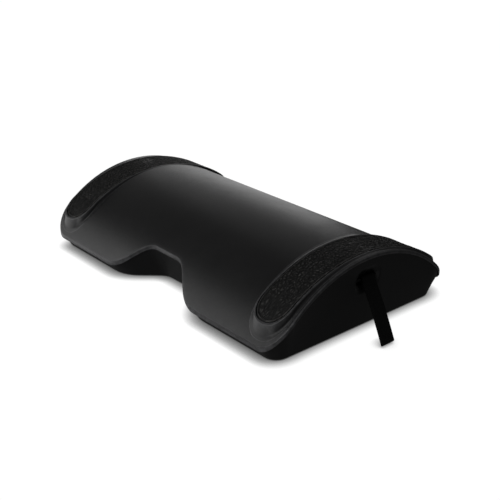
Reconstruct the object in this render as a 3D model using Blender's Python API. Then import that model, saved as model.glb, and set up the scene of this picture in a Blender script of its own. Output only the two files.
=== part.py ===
"""A two-way rocking footrest, modelled as the separate pieces it is assembled from.

Units are metres, +Z is up. The footrest stands on its flat deck with the crowned side up, its long axis
along X, and the pull strap leaves the +X end. The origin is the middle of the badge plate's outer face,
which lies in the plane of the two deck pads, so the floor is z = 0.
"""

import math
from typing import NamedTuple

import bmesh
import bpy
from mathutils import Vector

MM = 0.001

# Driving dimensions of the footrest
DECK_LENGTH = 440 * MM
DECK_DEPTH = 253 * MM
COVER_LENGTH = 467.4 * MM
COVER_DEPTH = 275 * MM
CROWN_HEIGHT = 91.8 * MM
EDGE_HEIGHT = 20.3 * MM  # height of the crowned cover at its two long edges
CLEARANCE = 0.3 * MM  # between pieces that touch
PARTING_GAP = 0.45 * MM  # between the tray's rim and the underside of the cover

# Mouldings
COVER_WALL = 2.6 * MM
TRAY_WALL = 3.0 * MM
DECK_Z = 1.6 * MM  # the pads stand this far proud of the deck
DECK_THICKNESS = 3.0 * MM
DECK_CHAMFER = 0.8 * MM
DECK_CORNER = 17 * MM
COVER_CORNER = 28 * MM
LIP_OVERHANG = 1.6 * MM  # the cover's edge stands this far out over the tray's walls
RIB_THICKNESS = 2 * MM
TRAY_RIB_HEIGHT = 14 * MM
TRAY_RIB_X = 150 * MM
TRAY_RIB_Y = 40 * MM
COVER_RIB_PLACES = [x * MM for x in (-148, -62, 0, 62, 148)]
COVER_RIB_DEPTH = 8 * MM
COVER_RIB_REACH = 92 * MM


class Notch(NamedTuple):
    """The notch in each long side: a trapezoid with rounded corners."""
    mouth: float  # half its width at the long side
    throat: float  # half its width at its inner wall
    depth: float
    mouth_radius: float
    throat_radius: float


DECK_NOTCH = Notch(74.7 * MM, 35.8 * MM, 41 * MM, 48 * MM, 19 * MM)
COVER_NOTCH = Notch(72 * MM, 31 * MM, 29.8 * MM, 60 * MM, 34 * MM)

# Rocker rails and the strips let into them
RAIL_X = 201 * MM
RAIL_HALF_WIDTH = 25 * MM
RAIL_TIP = 129 * MM  # how far from the middle the rail's top reaches
RAIL_RISE = 0.3 * MM  # above the crown
RAIL_TIP_RISE = 11.3 * MM  # above the cover at the rail's tip
RAIL_DRAFT = 1.6 * MM
RAIL_TOE = 2.5 * MM  # how much further the foot of the rail's end wall reaches
RAIL_ROUND_END = 25 * MM
RAIL_BACKING = 1.8 * MM  # extra wall inside the cover, under the strip's channel
STRIP_RIM = 2.2 * MM
STRIP_THICKNESS = 2.4 * MM
STRIP_PROUD = 0.4 * MM

# Deck pads and badge plate
PAD_HALF_LENGTH = 206 * MM
PAD_INNER_Y = 53 * MM
PAD_OUTER_Y = 110 * MM
PAD_NOTCH_MOUTH = 83 * MM
PAD_NOTCH_THROAT = 39 * MM
PAD_NOTCH_Y = 75 * MM
PAD_THICKNESS = 2.0 * MM
PAD_CORNER = 7 * MM
PAD_NOTCH_RADII = (12 * MM, 10 * MM)  # at the notch's mouth and its throat
PAD_RIM_Z = 0.5 * MM
PAD_RIM_WIDTH = 2.4 * MM
PAD_RIM_SLOPE = 3.2 * MM
PLATE_LENGTH = 243 * MM
PLATE_DEPTH = 55 * MM
PLATE_CORNER = 8 * MM

# Screws that hold the two shells together, under the deck pads
SHELL_SCREW_PLACES = [(x * MM, y * MM) for y in (-90, 90) for x in (-188, -108, 108, 188)]
SCREW_HEAD_RADIUS = 3.2 * MM
SCREW_HEAD_HEIGHT = 1.9 * MM
SCREW_SHANK_RADIUS = 1.3 * MM
SHELL_SCREW_LENGTH = 20 * MM
SHELL_SCREW_HEAD_Z = 2.9 * MM
SEAT_HEIGHT = 8.6 * MM
SEAT_RADIUS = 6 * MM
BOSS_RADIUS = 4 * MM

# Pull strap, its pin, and the housing let into the +X end wall
PIN_CENTRE = Vector((224.5 * MM, 0, 62 * MM))
PIN_RADIUS = 1.6 * MM
PIN_LENGTH = 34 * MM
STRAP_WIDTH = 19.6 * MM
WEBBING_THICKNESS = 1.5 * MM
STRAP_TIP_X = 271 * MM
STRAP_TIP_HEIGHT = 2.2 * MM  # of the middle of the strap's end above the floor
STRAP_OFFSET = 5.0 * MM  # the strap has slid this far along its pin
STRAP_DRIFT = -13.1 * MM  # and its free end lies this far from there
HOUSING_HALF_WIDTH = 18.2 * MM
HOUSING_LOW_Z = 48.8 * MM
HOUSING_HIGH_Z = 76.2 * MM
HOUSING_BACK_X = 212 * MM
HOUSING_WALL = 2.2 * MM
FLANGE_X = 216 * MM
FLANGE_THICKNESS = 2.2 * MM
EAR_Y = 24 * MM
EAR_RADIUS = 5.2 * MM
HOUSING_SCREW_LENGTH = 8.5 * MM

# How finely curves are divided
END_EDGE_STEPS = 22
CORNER_STEPS = 4
NOTCH_STEPS = 3
ROUND_SIDES = 16

BLACK_PLASTIC = ("satin_black_plastic", (0.018, 0.018, 0.019), 0.42, 0.0)
BADGE_PLASTIC = ("badge_black_plastic", (0.022, 0.022, 0.023), 0.36, 0.0)
RUBBER = ("pebbled_black_rubber", (0.012, 0.012, 0.012), 0.85, 0.0)
WEBBING = ("black_webbing", (0.008, 0.008, 0.009), 0.9, 0.0)
STEEL = ("zinc_plated_steel", (0.55, 0.56, 0.58), 0.35, 1.0)


# ---------------------------------------------------------------- the footrest's own curves

def circle_through(half_chord, rise):
    """Radius of the arc that rises this much over this half chord."""
    return (half_chord ** 2 + rise ** 2) / (2 * rise)


ARCH_RADIUS = circle_through(COVER_DEPTH / 2, CROWN_HEIGHT - EDGE_HEIGHT)
ARCH_CENTRE_Z = CROWN_HEIGHT - ARCH_RADIUS


def arch_height(y, inset=0.0):
    """Height of the crowned cover at depth y, or of a surface that lies inset inside it."""
    return ARCH_CENTRE_Z + math.sqrt((ARCH_RADIUS - inset) ** 2 - y ** 2)


RAIL_CROWN = CROWN_HEIGHT + RAIL_RISE
RAIL_RADIUS = circle_through(RAIL_TIP, RAIL_CROWN - arch_height(RAIL_TIP) - RAIL_TIP_RISE)


def rail_height(y):
    """Height of a rocker rail's top, a flatter arc than the cover's, so that the footrest rolls on it."""
    return RAIL_CROWN - RAIL_RADIUS + math.sqrt(RAIL_RADIUS ** 2 - y ** 2)


def end_wall_x(z):
    """Outer face of the tray's end wall at its middle, which leans out from the deck to the cover."""
    foot_z = DECK_Z + DECK_CHAMFER
    share = (z - foot_z) / (arch_height(0, COVER_WALL + PARTING_GAP) - foot_z)
    return DECK_LENGTH / 2 + share * (COVER_LENGTH / 2 - LIP_OVERHANG - DECK_LENGTH / 2)


# ---------------------------------------------------------------- outlines

def footprint_corners(length, depth, notch):
    """The twelve corners of a rectangle with a notch in each long side, anticlockwise from +X, -Y."""
    x, y = length / 2, depth / 2
    back = [(x, y), (notch.mouth, y), (notch.throat, y - notch.depth)]
    back += [(-px, py) for px, py in reversed(back)]
    front = [(-px, -py) for px, py in back]
    return [Vector(p) for p in front[-1:] + back + front[:-1]]


def footprint_radii(corner, notch):
    """A radius for each of those corners; a negative one marks a corner that turns inwards."""
    mouth, throat = notch.mouth_radius, -notch.throat_radius
    return [corner, corner, mouth, throat, throat, mouth] * 2


def inset_corners(corners, distance):
    """The corners of the same outline moved inwards."""
    moved = []
    for before, corner, after in zip(corners[-1:] + corners[:-1], corners, corners[1:] + corners[:1]):
        into = (corner - before).normalized()
        out = (after - corner).normalized()
        normals = Vector((-into.y, into.x)) + Vector((-out.y, out.x))
        moved.append(corner + normals * distance / (1 + into.dot(out)))
    return moved


def corner_arc(before, corner, after, radius, steps):
    """Points round one corner, from its first straight edge to its second."""
    back = (before - corner).normalized()
    ahead = (after - corner).normalized()
    half_angle = back.angle(ahead) / 2
    centre = corner + (back + ahead).normalized() * radius / math.sin(half_angle)
    start = corner + back * radius / math.tan(half_angle) - centre
    end = corner + ahead * radius / math.tan(half_angle) - centre
    turn = math.atan2(start.x * end.y - start.y * end.x, start.dot(end))
    first = math.atan2(start.y, start.x)
    angles = [first + turn * step / steps for step in range(steps + 1)]
    return [centre + radius * Vector((math.cos(a), math.sin(a))) for a in angles]


def rounded_outline(corners, radii, arc_steps, edge_steps):
    """A closed outline: each corner rounded, and each straight edge after it divided into its steps."""
    count = len(corners)
    arcs = [
        corner_arc(corners[i - 1], corners[i], corners[(i + 1) % count], abs(radii[i]), arc_steps[i])
        for i in range(count)
    ]
    points = []
    for i, arc in enumerate(arcs):
        following = arcs[(i + 1) % count][0]
        points += arc
        points += [arc[-1].lerp(following, step / edge_steps[i]) for step in range(1, edge_steps[i])]
    return points


FOOTPRINT_ARC_STEPS = [CORNER_STEPS, CORNER_STEPS] + [NOTCH_STEPS] * 4
FOOTPRINT_EDGE_STEPS = [END_EDGE_STEPS, 2, 3, 2, 3, 2]


def footprint(length, depth, notch, corner, inset=0.0):
    """The outline of a shell: its corners rounded, and moved inwards by inset."""
    corners = inset_corners(footprint_corners(length, depth, notch), inset)
    radii = [radius - inset for radius in footprint_radii(corner, notch)]
    return rounded_outline(corners, radii, FOOTPRINT_ARC_STEPS * 2, FOOTPRINT_EDGE_STEPS * 2)


def deck_outline(inset=0.0):
    return footprint(DECK_LENGTH, DECK_DEPTH, DECK_NOTCH, DECK_CORNER, inset)


def cover_outline(inset=0.0):
    return footprint(COVER_LENGTH, COVER_DEPTH, COVER_NOTCH, COVER_CORNER, inset)


def pad_outline(side, grow=0.0):
    """Outline of a deck pad on the side +1 or -1, grown for the recess that holds it."""
    corners = [
        (PAD_HALF_LENGTH, PAD_INNER_Y), (PAD_HALF_LENGTH, PAD_OUTER_Y), (PAD_NOTCH_MOUTH, PAD_OUTER_Y),
        (PAD_NOTCH_THROAT, PAD_NOTCH_Y), (-PAD_NOTCH_THROAT, PAD_NOTCH_Y), (-PAD_NOTCH_MOUTH, PAD_OUTER_Y),
        (-PAD_HALF_LENGTH, PAD_OUTER_Y), (-PAD_HALF_LENGTH, PAD_INNER_Y),
    ]
    corners = [side * Vector(corner) for corner in corners]
    mouth_radius, throat_radius = PAD_NOTCH_RADII
    half = [PAD_CORNER, PAD_CORNER, mouth_radius, -throat_radius]
    radii = [radius + grow for radius in half + half[::-1]]
    return rounded_outline(inset_corners(corners, -grow), radii, [4] * 8, [1] * 8)


def plate_outline(grow=0.0):
    x, y = PLATE_LENGTH / 2 + grow, PLATE_DEPTH / 2 + grow
    corners = [Vector(corner) for corner in ((x, -y), (x, y), (-x, y), (-x, -y))]
    return rounded_outline(corners, [PLATE_CORNER + grow] * 4, [4] * 4, [1] * 4)


# ---------------------------------------------------------------- solids

def principled(name, color, roughness, metallic):
    material = bpy.data.materials.get(name) or bpy.data.materials.new(name)
    material.use_nodes = True
    shader = material.node_tree.nodes["Principled BSDF"]
    shader.inputs["Base Color"].default_value = (*color, 1)
    shader.inputs["Roughness"].default_value = roughness
    shader.inputs["Metallic"].default_value = metallic
    material.diffuse_color = (*color, 1)
    return material


def add_object(name, points, faces, finish):
    """A named object from points and faces, with its normals turned outwards."""
    mesh = bpy.data.meshes.new(name)
    mesh.from_pydata([tuple(point) for point in points], [], faces)
    edit = bmesh.new()
    edit.from_mesh(mesh)
    bmesh.ops.recalc_face_normals(edit, faces=edit.faces)
    edit.to_mesh(mesh)
    edit.free()
    mesh.materials.append(principled(*finish))
    piece = bpy.data.objects.new(name, mesh)
    bpy.context.scene.collection.objects.link(piece)
    return piece


def ring_solid(name, rings, finish):
    """A solid skinned over closed rings of equal length, with a flat cap on the first and the last."""
    count = len(rings[0])
    points = [point for ring in rings for point in ring]
    faces = [list(range(count)), list(range(len(points) - count, len(points)))]
    for ring in range(len(rings) - 1):
        for i in range(count):
            a, b = ring * count + i, ring * count + (i + 1) % count
            faces.append([a, b, b + count, a + count])
    return add_object(name, points, faces, finish)


def prism(name, outline, low_z, high_z, finish):
    rings = [[Vector((p.x, p.y, z)) for p in outline] for z in (low_z, high_z)]
    return ring_solid(name, rings, finish)


def grid_solid(name, top, bottom, finish):
    """A solid between two grids of points with the same rows and columns, closed round their edge."""
    rows, columns = len(top), len(top[0])
    under = rows * columns
    points = [point for grid in (top, bottom) for row in grid for point in row]
    faces = []
    for r in range(rows - 1):
        for c in range(columns - 1):
            a = r * columns + c
            quad = [a, a + 1, a + columns + 1, a + columns]
            faces += [quad, [under + i for i in quad]]
    rim = [r * columns for r in range(rows)]
    rim += [(rows - 1) * columns + c for c in range(1, columns)]
    rim += [r * columns + columns - 1 for r in range(rows - 2, -1, -1)]
    rim += [c for c in range(columns - 2, 0, -1)]
    for a, b in zip(rim, rim[1:] + rim[:1]):
        faces.append([a, b, b + under, a + under])
    return add_object(name, points, faces, finish)


def block(name, low, high, finish):
    corners = [(low[0], low[1]), (high[0], low[1]), (high[0], high[1]), (low[0], high[1])]
    outline = [Vector(corner) for corner in corners]
    return prism(name, outline, low[2], high[2], finish)


def rod(name, start, axis, profile, finish, sides=ROUND_SIDES):
    """A turned solid: profile lists (distance along axis, radius) from one end to the other."""
    axis = axis.normalized()
    across = axis.orthogonal().normalized()
    beside = axis.cross(across)
    rings = []
    for along, radius in profile:
        angles = [2 * math.pi * i / sides for i in range(sides)]
        offsets = [across * math.cos(a) + beside * math.sin(a) for a in angles]
        rings.append([start + axis * along + offset * radius for offset in offsets])
    return ring_solid(name, rings, finish)


def combine(target, tools, operation):
    """Apply a Boolean of every tool to the target, and remove the tools."""
    for tool in tools:
        modifier = target.modifiers.new(tool.name, "BOOLEAN")
        modifier.operation = operation
        modifier.object = tool
    depsgraph = bpy.context.evaluated_depsgraph_get()
    mesh = bpy.data.meshes.new_from_object(target.evaluated_get(depsgraph))
    target.modifiers.clear()
    target.data = mesh
    for tool in tools:
        bpy.data.objects.remove(tool)


def finish_round(piece, angle=math.radians(32)):
    piece.data.shade_smooth()
    piece.data.set_sharp_from_angle(angle=angle)


# ---------------------------------------------------------------- the crowned cover

def cover_rows(edge_y):
    """Depth positions across one column of the cover, closer together where the cover is steep."""
    even_part = 84 * MM
    inner_rows, outer_rows = 10, 6
    inner = [even_part * (2 * i / inner_rows - 1) for i in range(inner_rows + 1)]
    outer = [even_part + (edge_y - even_part) * i / outer_rows for i in range(1, outer_rows + 1)]
    return [-y for y in reversed(outer)] + inner + outer


def cover_shell():
    outline = cover_outline()
    first = CORNER_STEPS + END_EDGE_STEPS
    back_half = sum(FOOTPRINT_ARC_STEPS[1:]) + CORNER_STEPS + sum(FOOTPRINT_EDGE_STEPS[1:])
    count = back_half + 1
    columns = outline[first:first + count]
    top = [[Vector((p.x, y, arch_height(y))) for y in cover_rows(p.y)] for p in columns]
    under = [[Vector((p.x, y, arch_height(y, COVER_WALL))) for y in cover_rows(p.y)] for p in columns]
    return grid_solid("arch_cover", top, under, BLACK_PLASTIC)


def stadium(tip, half_width, round_end, end_steps=6, straight_steps=14):
    """Depth positions of a rail-shaped outline, with its half width at each."""
    blunt = math.radians(76)
    angles = [blunt * (1 - step / end_steps) for step in range(end_steps + 1)]
    end = [(tip - round_end * (1 - math.sin(a)), half_width * math.cos(a)) for a in angles]
    straight = tip - round_end
    middle = [straight * (1 - 2 * step / straight_steps) for step in range(1, straight_steps)]
    return end + [(y, half_width) for y in middle] + [(-y, w) for y, w in reversed(end)]


def rail_slab(name, x, top_shape, bottom_shape, top_height, bottom_height, finish):
    """A slab on the arch between two rail-shaped outlines, each at its own height over y."""
    top = [[Vector((x + s * w, y, top_height(y))) for s in (-1, 1)] for y, w in top_shape]
    bottom = [[Vector((x + s * w, y, bottom_height(y))) for s in (-1, 1)] for y, w in bottom_shape]
    return grid_solid(name, top, bottom, finish)


def rail(x):
    top = stadium(RAIL_TIP, RAIL_HALF_WIDTH, RAIL_ROUND_END)
    foot = stadium(RAIL_TIP + RAIL_TOE, RAIL_HALF_WIDTH + RAIL_DRAFT, RAIL_ROUND_END + RAIL_TOE)

    def inside_shell(y):
        return arch_height(y, COVER_WALL / 2)

    return rail_slab("rail", x, top, foot, rail_height, inside_shell, BLACK_PLASTIC)


def rail_backing(x):
    shape = stadium(RAIL_TIP - 6 * MM, RAIL_HALF_WIDTH - 3 * MM, RAIL_ROUND_END)

    def inside_wall(y):
        return arch_height(y, COVER_WALL / 2)

    def underside(y):
        return arch_height(y, COVER_WALL + RAIL_BACKING)

    return rail_slab("rail_backing", x, shape, shape, inside_wall, underside, BLACK_PLASTIC)


def strip_shape(grow=0.0):
    inset = STRIP_RIM - grow
    return stadium(RAIL_TIP - inset, RAIL_HALF_WIDTH - inset, RAIL_ROUND_END - inset)


def rail_channel(x):
    shape = strip_shape(CLEARANCE)
    floor_depth = STRIP_THICKNESS - STRIP_PROUD + CLEARANCE

    def above(y):
        return rail_height(y) + 5 * MM

    def floor(y):
        return rail_height(y) - floor_depth

    return rail_slab("rail_channel", x, shape, shape, above, floor, BLACK_PLASTIC)


def rocker_strip(name, x):
    def outer(y):
        return rail_height(y) + STRIP_PROUD

    def inner(y):
        return outer(y) - STRIP_THICKNESS

    piece = rail_slab(name, x, strip_shape(), strip_shape(), outer, inner, RUBBER)
    finish_round(piece)


def cover_rib(x):
    """A stiffening rib that follows the inside of the arch."""
    steps = 12
    rows = [COVER_RIB_REACH * (2 * step / steps - 1) for step in range(steps + 1)]
    sides = (x - RIB_THICKNESS / 2, x + RIB_THICKNESS / 2)

    def follow(inset):
        return [[Vector((side, y, arch_height(y, inset))) for side in sides] for y in rows]

    top, bottom = follow(COVER_WALL / 2), follow(COVER_WALL + COVER_RIB_DEPTH)
    return grid_solid("cover_rib", top, bottom, BLACK_PLASTIC)


def cover_boss(x, y):
    """A screw boss that hangs from the inside of the arch down to its seat on the tray."""
    angles = [2 * math.pi * i / ROUND_SIDES for i in range(ROUND_SIDES)]
    ring = [Vector((x + BOSS_RADIUS * math.cos(a), y + BOSS_RADIUS * math.sin(a))) for a in angles]
    low = [Vector((p.x, p.y, SEAT_HEIGHT + CLEARANCE)) for p in ring]
    high = [Vector((p.x, p.y, arch_height(p.y, COVER_WALL / 2))) for p in ring]
    return ring_solid("cover_boss", [low, high], BLACK_PLASTIC)


def boss_hole(x, y):
    depth = SHELL_SCREW_LENGTH + 3 * MM
    radius = SCREW_SHANK_RADIUS + CLEARANCE
    start = Vector((x, y, SEAT_HEIGHT - 1 * MM))
    return rod("boss_hole", start, Vector((0, 0, 1)), [(0, radius), (depth, radius)], STEEL, 12)


def arch_cover():
    cover = cover_shell()
    rails = [build(x) for x in (-RAIL_X, RAIL_X) for build in (rail, rail_backing)]
    ribs = [cover_rib(x) for x in COVER_RIB_PLACES]
    bosses = [cover_boss(x, y) for x, y in SHELL_SCREW_PLACES]
    combine(cover, rails + ribs + bosses, "UNION")
    channels = [rail_channel(x) for x in (-RAIL_X, RAIL_X)]
    combine(cover, channels + [boss_hole(x, y) for x, y in SHELL_SCREW_PLACES], "DIFFERENCE")
    finish_round(cover)


# ---------------------------------------------------------------- the flat tray

def level(outline, z):
    return [Vector((p.x, p.y, z)) for p in outline]


def pad_rim(side):
    """The raised, sloping rim round a deck pad; its recess is cut afterwards."""
    crest = level(pad_outline(side, PAD_RIM_WIDTH), PAD_RIM_Z)
    foot = level(pad_outline(side, PAD_RIM_WIDTH + PAD_RIM_SLOPE), DECK_Z + DECK_THICKNESS / 4)
    return ring_solid("pad_rim", [crest, foot], BLACK_PLASTIC)


def tray_shell():
    """The deck and its walls, leaning out from the deck's edge to just under the cover's lip."""
    def rim(inset):
        outline = cover_outline(LIP_OVERHANG + inset)
        return [Vector((p.x, p.y, arch_height(p.y, COVER_WALL + PARTING_GAP))) for p in outline]

    rings = [
        level(deck_outline(DECK_CHAMFER), DECK_Z),
        level(deck_outline(), DECK_Z + DECK_CHAMFER),
        rim(0),
        rim(TRAY_WALL),
        level(deck_outline(TRAY_WALL), DECK_Z + DECK_THICKNESS),
    ]
    return ring_solid("base_tray", rings, BLACK_PLASTIC)


def tray_ribs():
    """Stiffening ribs along and across the inside of the deck."""
    half = RIB_THICKNESS / 2
    low, high = DECK_Z + DECK_THICKNESS / 2, DECK_Z + DECK_THICKNESS + TRAY_RIB_HEIGHT
    x_end, y_end = DECK_LENGTH / 2 - 12 * MM, DECK_DEPTH / 2 - 16 * MM
    ribs = []
    for y in (-TRAY_RIB_Y, TRAY_RIB_Y):
        ribs.append(block("long_rib", (-x_end, y - half, low), (x_end, y + half, high), BLACK_PLASTIC))
    for x in (-TRAY_RIB_X, TRAY_RIB_X):
        ribs.append(block("cross_rib", (x - half, -y_end, low), (x + half, y_end, high), BLACK_PLASTIC))
    return ribs


def screw_seat(x, y):
    start = Vector((x, y, DECK_Z + DECK_THICKNESS / 2))
    profile = [(0, SEAT_RADIUS), (SEAT_HEIGHT - start.z, SEAT_RADIUS)]
    return rod("screw_seat", start, Vector((0, 0, 1)), profile, BLACK_PLASTIC)


def screw_way(x, y):
    """A counterbore for a screw's head and a clear hole for its shank."""
    head = SCREW_HEAD_RADIUS + CLEARANCE
    shank = SCREW_SHANK_RADIUS + CLEARANCE
    step = SHELL_SCREW_HEAD_Z + SCREW_HEAD_HEIGHT + CLEARANCE
    profile = [(-1 * MM, head), (step, head), (step, shank), (SEAT_HEIGHT + 1 * MM, shank)]
    return rod("screw_way", Vector((x, y, 0)), Vector((0, 0, 1)), profile, STEEL)


def wall_block(name, back_x, proud, half_y, low_z, high_z):
    """A block whose front face lies along the leaning end wall, or stands proud of it."""
    corners = [(-half_y, low_z), (half_y, low_z), (half_y, high_z), (-half_y, high_z)]
    back = [Vector((back_x, y, z)) for y, z in corners]
    front = [Vector((end_wall_x(z) + proud, y, z)) for y, z in corners]
    return ring_solid(name, [back, front], BLACK_PLASTIC)


def housing_opening():
    half_y = HOUSING_HALF_WIDTH + CLEARANCE
    low, high = HOUSING_LOW_Z - CLEARANCE, HOUSING_HIGH_Z + CLEARANCE
    return wall_block("housing_opening", FLANGE_X + 4 * MM, 6 * MM, half_y, low, high)


def ear_places():
    return [(side * EAR_Y, PIN_CENTRE.z) for side in (-1, 1)]


def wall_boss(y, z):
    start = Vector((FLANGE_X + FLANGE_THICKNESS + CLEARANCE, y, z))
    length = end_wall_x(z) - TRAY_WALL / 2 - start.x
    return rod("wall_boss", start, Vector((1, 0, 0)), [(0, 4 * MM), (length, 4 * MM)], BLACK_PLASTIC)


def wall_boss_hole(y, z):
    start = Vector((FLANGE_X, y, z))
    radius = SCREW_SHANK_RADIUS + CLEARANCE
    length = HOUSING_SCREW_LENGTH + CLEARANCE
    return rod("wall_hole", start, Vector((1, 0, 0)), [(0, radius), (length, radius)], STEEL, 12)


def base_tray():
    tray = tray_shell()
    added = tray_ribs() + [pad_rim(side) for side in (-1, 1)]
    added += [screw_seat(x, y) for x, y in SHELL_SCREW_PLACES]
    added += [wall_boss(y, z) for y, z in ear_places()]
    combine(tray, added, "UNION")
    recesses = [pad_outline(side, CLEARANCE) for side in (-1, 1)] + [plate_outline(CLEARANCE)]
    recess_top = PAD_THICKNESS + CLEARANCE
    cutters = [prism("recess", outline, -1 * MM, recess_top, BLACK_PLASTIC) for outline in recesses]
    cutters += [screw_way(x, y) for x, y in SHELL_SCREW_PLACES]
    cutters += [wall_boss_hole(y, z) for y, z in ear_places()]
    cutters.append(housing_opening())
    combine(tray, cutters, "DIFFERENCE")
    finish_round(tray)


# ---------------------------------------------------------------- pads, plate, screws

def deck_pads():
    for name, side in (("deck_pad_front", -1), ("deck_pad_back", 1)):
        prism(name, pad_outline(side), 0, PAD_THICKNESS, RUBBER)


def badge_plate():
    prism("badge_plate", plate_outline(), 0, PAD_THICKNESS, BADGE_PLASTIC)


def screw(name, head_start, axis, length):
    """A pan-head screw, its head at the start and its point along the axis."""
    head, shank = SCREW_HEAD_RADIUS, SCREW_SHANK_RADIUS
    profile = [
        (0, head * 0.72), (0.5 * MM, head), (SCREW_HEAD_HEIGHT, head),
        (SCREW_HEAD_HEIGHT, shank), (length - 1.5 * MM, shank), (length, shank * 0.3),
    ]
    piece = rod(name, head_start, axis, profile, STEEL, 12)
    finish_round(piece)


def shell_screws():
    for i, (x, y) in enumerate(SHELL_SCREW_PLACES, start=1):
        screw(f"shell_screw_{i}", Vector((x, y, SHELL_SCREW_HEAD_Z)), Vector((0, 0, 1)), SHELL_SCREW_LENGTH)


# ---------------------------------------------------------------- strap housing, pin and strap

def housing_flange():
    """A plate behind the end wall with an ear on each side for a screw."""
    start_x = FLANGE_X
    plate = block(
        "flange", (start_x, -EAR_Y, PIN_CENTRE.z - EAR_RADIUS),
        (start_x + FLANGE_THICKNESS, EAR_Y, PIN_CENTRE.z + EAR_RADIUS), BLACK_PLASTIC,
    )
    ears = [rod("ear", Vector((start_x, y, z)), Vector((1, 0, 0)),
                [(0, EAR_RADIUS), (FLANGE_THICKNESS, EAR_RADIUS)], BLACK_PLASTIC)
            for y, z in ear_places()]
    return [plate] + ears


def strap_housing():
    """A cup let into the end wall, open to the front, whose side walls carry the strap's pin."""
    half_y, low, high = HOUSING_HALF_WIDTH, HOUSING_LOW_Z, HOUSING_HIGH_Z
    housing = wall_block("strap_housing", HOUSING_BACK_X, 0, half_y, low, high)
    combine(housing, housing_flange(), "UNION")
    wall = HOUSING_WALL
    cup = wall_block("cup", HOUSING_BACK_X + wall, 6 * MM, half_y - wall, low + wall, high - wall)
    pin_hole = pin_rod("pin_hole", PIN_RADIUS + CLEARANCE, PIN_LENGTH + 10 * MM)
    ear_radius = SCREW_SHANK_RADIUS + CLEARANCE
    ear_holes = [rod("ear_hole", Vector((FLANGE_X - 2 * MM, y, z)), Vector((1, 0, 0)),
                     [(0, ear_radius), (8 * MM, ear_radius)], STEEL, 12) for y, z in ear_places()]
    combine(housing, [cup, pin_hole] + ear_holes, "DIFFERENCE")
    finish_round(housing)


def pin_rod(name, radius, length):
    start = PIN_CENTRE - Vector((0, length / 2, 0))
    return rod(name, start, Vector((0, 1, 0)), [(0, radius), (length, radius)], STEEL)


def strap_pin():
    finish_round(pin_rod("strap_pin", PIN_RADIUS, PIN_LENGTH))


def housing_screws():
    start_x = FLANGE_X - SCREW_HEAD_HEIGHT - CLEARANCE
    for i, (y, z) in enumerate(ear_places(), start=1):
        screw(f"housing_screw_{i}", Vector((start_x, y, z)), Vector((1, 0, 0)), HOUSING_SCREW_LENGTH)


def strap_section():
    """Side view of the strap along its own length u: webbing doubled back round the pin, w across it."""
    inner = PIN_RADIUS + CLEARANCE
    outer = inner + WEBBING_THICKNESS
    tip = Vector((STRAP_TIP_X, STRAP_TIP_HEIGHT)) - PIN_CENTRE.xz
    length = tip.length
    neck = 9 * MM
    loop = [(outer * math.cos(a), outer * math.sin(a)) for a in
            (math.radians(60 + 240 * step / 12) for step in range(13))]
    eye = [(inner * math.cos(a), inner * math.sin(a)) for a in
           (math.radians(60 + 240 * step / 10) for step in range(11))]
    eye.append((inner / math.cos(math.radians(60)), 0))
    tail = [(neck, -WEBBING_THICKNESS)]
    tail += [(neck + (length - neck) * step / 6, -WEBBING_THICKNESS) for step in range(1, 7)]
    tail += [(u, WEBBING_THICKNESS) for u, w in reversed(tail)]
    return loop + tail, eye, math.atan2(tip.y, tip.x)


def pull_strap():
    """The strap hangs from its pin to the floor; its origin is on the pin's axis."""
    outer, eye, lean = strap_section()
    length = max(u for u, w in outer)

    def place(u, w, side):
        drift = STRAP_OFFSET + STRAP_DRIFT * (max(u, 0) / length) ** 1.4
        along = Vector((math.cos(lean), 0, math.sin(lean)))
        across = Vector((-math.sin(lean), 0, math.cos(lean)))
        return along * u + across * w + Vector((0, side * STRAP_WIDTH / 2 + drift, 0))

    strap = ring_solid("pull_strap", [[place(u, w, side) for u, w in outer] for side in (-1, 1)], WEBBING)
    opening = ring_solid("eye", [[place(u, w, side) for u, w in eye] for side in (-1.5, 1.5)], WEBBING)
    combine(strap, [opening], "DIFFERENCE")
    strap.location = PIN_CENTRE
    finish_round(strap)


def clear_scene():
    for item in list(bpy.data.objects):
        bpy.data.objects.remove(item)


def main():
    clear_scene()
    arch_cover()
    base_tray()
    for name, x in (("rocker_strip_left", -RAIL_X), ("rocker_strip_right", RAIL_X)):
        rocker_strip(name, x)
    deck_pads()
    badge_plate()
    shell_screws()
    strap_housing()
    strap_pin()
    housing_screws()
    pull_strap()


main()
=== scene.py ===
"""Looks for the two-way rocking footrest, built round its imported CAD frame.

Units are metres, +Z is up and the floor is z = 0. The CAD's own dimensions are repeated below, because
each detailed piece takes the place of the CAD node of the same name.
"""

import itertools
import math
from typing import NamedTuple

import bmesh
import bpy
import numpy as np
from mathutils import Matrix, Vector, noise


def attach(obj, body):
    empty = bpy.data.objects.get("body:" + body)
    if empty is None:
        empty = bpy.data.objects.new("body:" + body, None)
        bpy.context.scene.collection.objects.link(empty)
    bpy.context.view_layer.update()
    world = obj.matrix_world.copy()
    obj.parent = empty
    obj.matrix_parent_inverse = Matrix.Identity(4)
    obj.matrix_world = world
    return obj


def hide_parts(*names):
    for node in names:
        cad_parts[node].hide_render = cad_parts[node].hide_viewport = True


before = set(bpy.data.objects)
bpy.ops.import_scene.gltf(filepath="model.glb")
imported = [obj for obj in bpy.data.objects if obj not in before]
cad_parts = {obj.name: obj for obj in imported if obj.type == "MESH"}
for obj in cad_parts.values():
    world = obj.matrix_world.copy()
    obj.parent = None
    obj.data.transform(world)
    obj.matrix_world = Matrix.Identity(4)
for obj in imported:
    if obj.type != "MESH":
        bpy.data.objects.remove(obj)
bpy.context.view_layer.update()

MM = 0.001

# ---------------------------------------------------------------- the CAD's dimensions

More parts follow.
